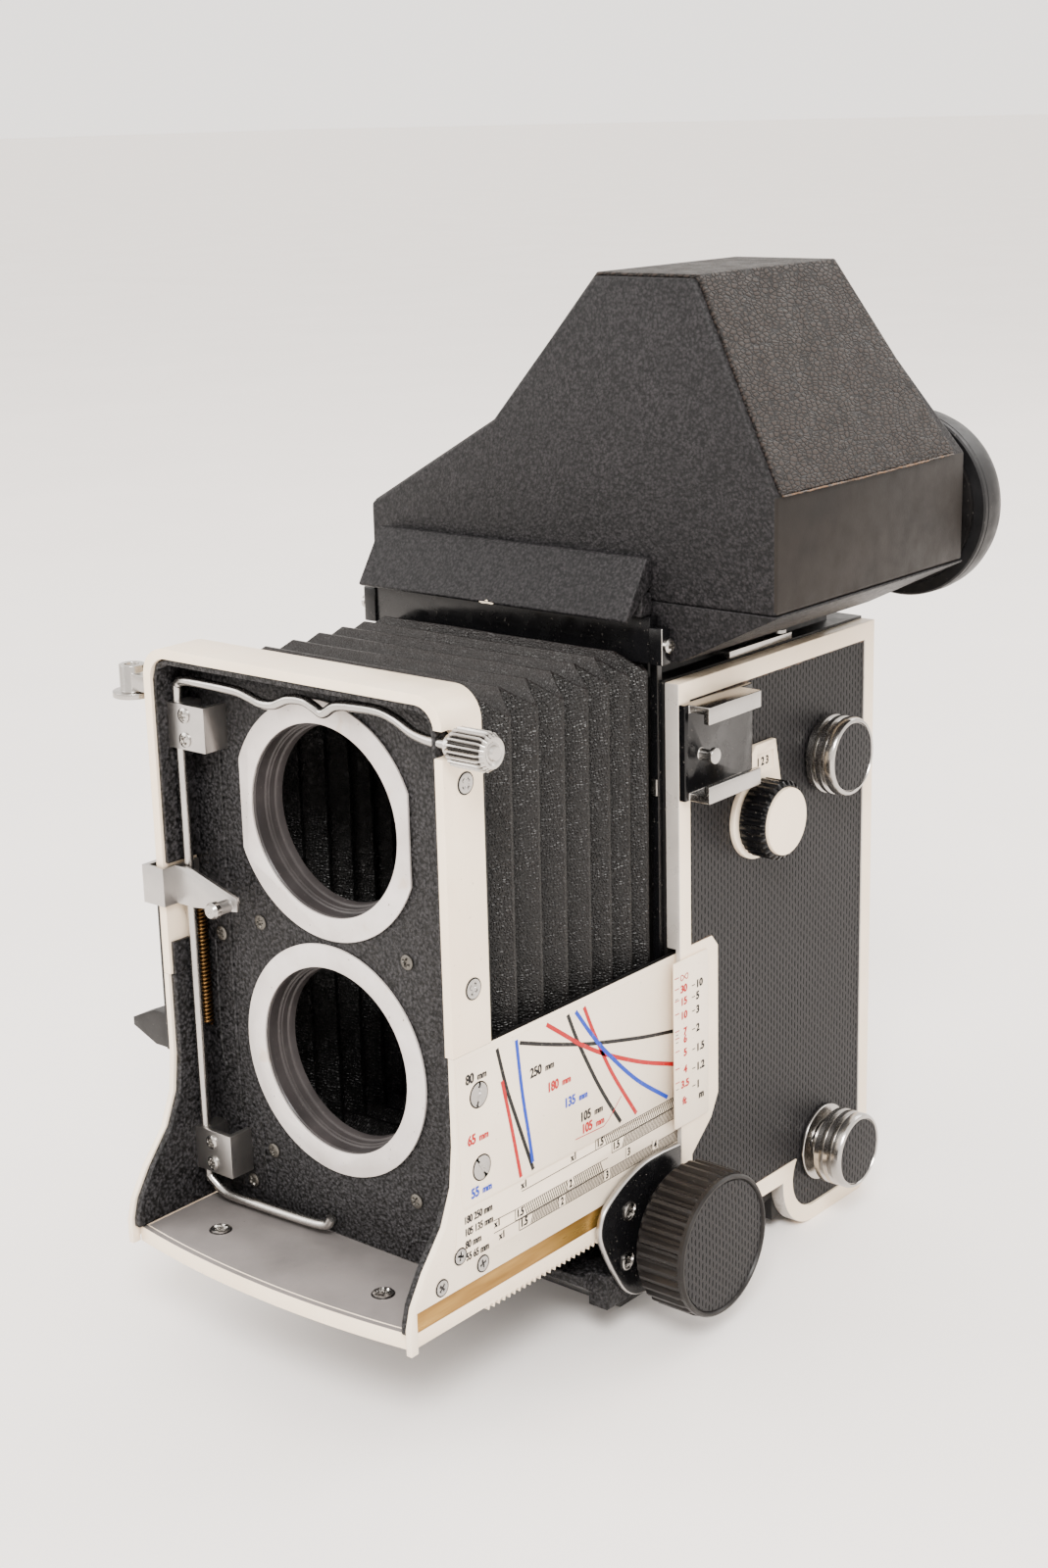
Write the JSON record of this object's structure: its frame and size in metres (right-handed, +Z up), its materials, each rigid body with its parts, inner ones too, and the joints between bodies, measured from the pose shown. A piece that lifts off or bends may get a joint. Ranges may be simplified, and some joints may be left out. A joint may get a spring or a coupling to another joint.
{
  "type": "twin lens reflex camera",
  "caption": "Twin lens reflex camera body with bellows focusing front, open lens rings, bail wire, side focusing knobs and a mirror eye-level finder.",
  "frame": {"origin": "on the standing face, under the middle of the body's width and depth", "axes": "+Z up, the lenses face -Y, +X is the camera's side with the film knobs"},
  "size_m": [0.1247, 0.1697, 0.2179],
  "materials": {
    "cream_paint": "satin",
    "black_crackle": "crackle",
    "black_gloss": "gloss",
    "black_satin": "satin",
    "chrome": "polished",
    "satin_aluminium": "satin",
    "brass_strip": "satin",
    "body_leather": "ribbed",
    "finder_leather": "grained",
    "bellows_leather": "pleated",
    "printed_plate": "satin",
    "black_plastic": "moulded",
    "rubber": "matte",
    "glass": "clear",
    "mirror": "polished",
    "steel": "satin"
  },
  "bodies": {
    "body": {"body_shell": "black_satin", "side_cover_right": "cream_paint", "side_cover_left": "cream_paint", "side_leathers": "body_leather", "base_block": "black_crackle", "focus_brackets": "black_gloss", "body_screws": "chrome", "scale_plate": "printed_plate", "accessory_shoe": "chrome", "dial_plates": "cream_paint", "front_strip": "black_gloss", "nameplate": "black_crackle", "hook_brackets": "black_gloss", "viewing_mirror": "mirror", "focusing_screen": "glass", "chamber_divider": "black_satin", "film_gate": "black_satin", "film_rollers": "chrome", "tripod_plate": "satin_aluminium", "bellows": "bellows_leather"},
    "standard": {"standard_frame": "cream_paint", "standard_panel": "black_crackle", "lens_ring_upper": "satin_aluminium", "lens_ring_lower": "satin_aluminium", "lens_tubes": "black_satin", "standard_screws": "steel", "rod_clamps": "chrome", "cable_socket": "chrome", "front_tray": "satin_aluminium", "chart_plate_right": "printed_plate", "chart_plate_left": "printed_plate", "guide_strips": "brass_strip", "focus_racks": "steel", "carriage": "black_satin", "release_spring": "steel"},
    "bail": {"bail_wire": "chrome"},
    "bail_screw": {"bail_knob": "chrome"},
    "release": {"release_slider": "chrome"},
    "focus": {"focus_shaft": "steel", "focus_knob_right": "black_plastic", "focus_knob_left": "black_plastic"},
    "lens_lock": {"lock_dial": "black_plastic"},
    "knob_upper": {"film_knob_upper": "chrome"},
    "knob_lower": {"film_knob_lower": "chrome"},
    "winder": {"advance_crank": "chrome", "spool_upper": "black_plastic"},
    "crank_handle": {"crank_grip": "chrome"},
    "supply": {"spool_lower": "black_plastic"},
    "door": {"rear_door": "body_leather"},
    "latch": {"door_latch": "chrome"},
    "plate": {"pressure_plate": "black_satin"},
    "finder": {"finder_base": "black_crackle", "finder_housing": "black_crackle", "finder_leather": "finder_leather", "finder_back": "black_satin", "eyepiece_tube": "black_plastic", "eyecup": "rubber", "eyepiece_lens": "glass", "finder_mirrors": "mirror"},
    "finder_lock": {"finder_latch": "chrome"}
  },
  "joints": [
    {"name": "focus_slide", "type": "slide", "parent": "body", "child": "standard", "axis": [0, 1, 0], "range_m": [-0.003, 0.052], "deforming": ["bellows"]},
    {"name": "focus_turn", "type": "hinge", "parent": "body", "child": "focus", "pos_m": [0, -0.0435, 0.0214], "axis": [1, 0, 0], "range_deg": [-745.5, 43.5]},
    {"name": "bail_swing", "type": "hinge", "parent": "standard", "child": "bail", "pos_m": [-0.035, -0.1018, 0.09], "axis": [0, 0, -1], "range_deg": [0, 88]},
    {"name": "bail_knob_turn", "type": "hinge", "parent": "bail", "child": "bail_screw", "pos_m": [0.045, -0.1048, 0.14], "axis": [1, 0, 0], "continuous": true},
    {"name": "release_press", "type": "slide", "parent": "standard", "child": "release", "axis": [0, 0, -1], "range_m": [0, 0.006], "stiffness_N_per_m": 150, "springref_m": -0.002, "deforming": ["release_spring"]},
    {"name": "lock_turn", "type": "hinge", "parent": "body", "child": "lens_lock", "pos_m": [0.042, -0.0095, 0.1035], "axis": [1, 0, 0], "range_deg": [0, 90]},
    {"name": "upper_knob_pull", "type": "slide", "parent": "body", "child": "knob_upper", "axis": [1, 0, 0], "range_m": [0, 0.006]},
    {"name": "lower_knob_pull", "type": "slide", "parent": "body", "child": "knob_lower", "axis": [1, 0, 0], "range_m": [0, 0.006]},
    {"name": "winder_turn", "type": "hinge", "parent": "body", "child": "winder", "pos_m": [0, 0.0178, 0.1112], "axis": [1, 0, 0], "continuous": true},
    {"name": "crank_fold", "type": "hinge", "parent": "winder", "child": "crank_handle", "pos_m": [-0.0456, 0.0178, 0.1201], "axis": [0, 1, 0], "range_deg": [0, 180]},
    {"name": "supply_turn", "type": "hinge", "parent": "body", "child": "supply", "pos_m": [0, 0.0178, 0.0184], "axis": [1, 0, 0], "continuous": true},
    {"name": "door_swing", "type": "hinge", "parent": "body", "child": "door", "pos_m": [0, 0.0353, 0.016], "axis": [-1, 0, 0], "range_deg": [0, 90]},
    {"name": "latch_slide", "type": "slide", "parent": "door", "child": "latch", "axis": [1, 0, 0], "range_m": [0, 0.0036]},
    {"name": "plate_press", "type": "slide", "parent": "door", "child": "plate", "axis": [0, 1, 0], "range_m": [0, 0.0006], "stiffness_N_per_m": 400, "springref_m": -0.001},
    {"name": "finder_lift", "type": "slide", "parent": "body", "child": "finder", "axis": [0, 0, 1], "range_m": [0, 0.025]},
    {"name": "finder_lock_turn", "type": "hinge", "parent": "body", "child": "finder_lock", "pos_m": [0.0364, 0.006, 0.139], "axis": [0, 0, 1], "range_deg": [0, 35]}
  ],
  "couplings": [
    {"joint": "focus_turn", "follows": "focus_slide", "rad_per_m": -250}
  ]
}
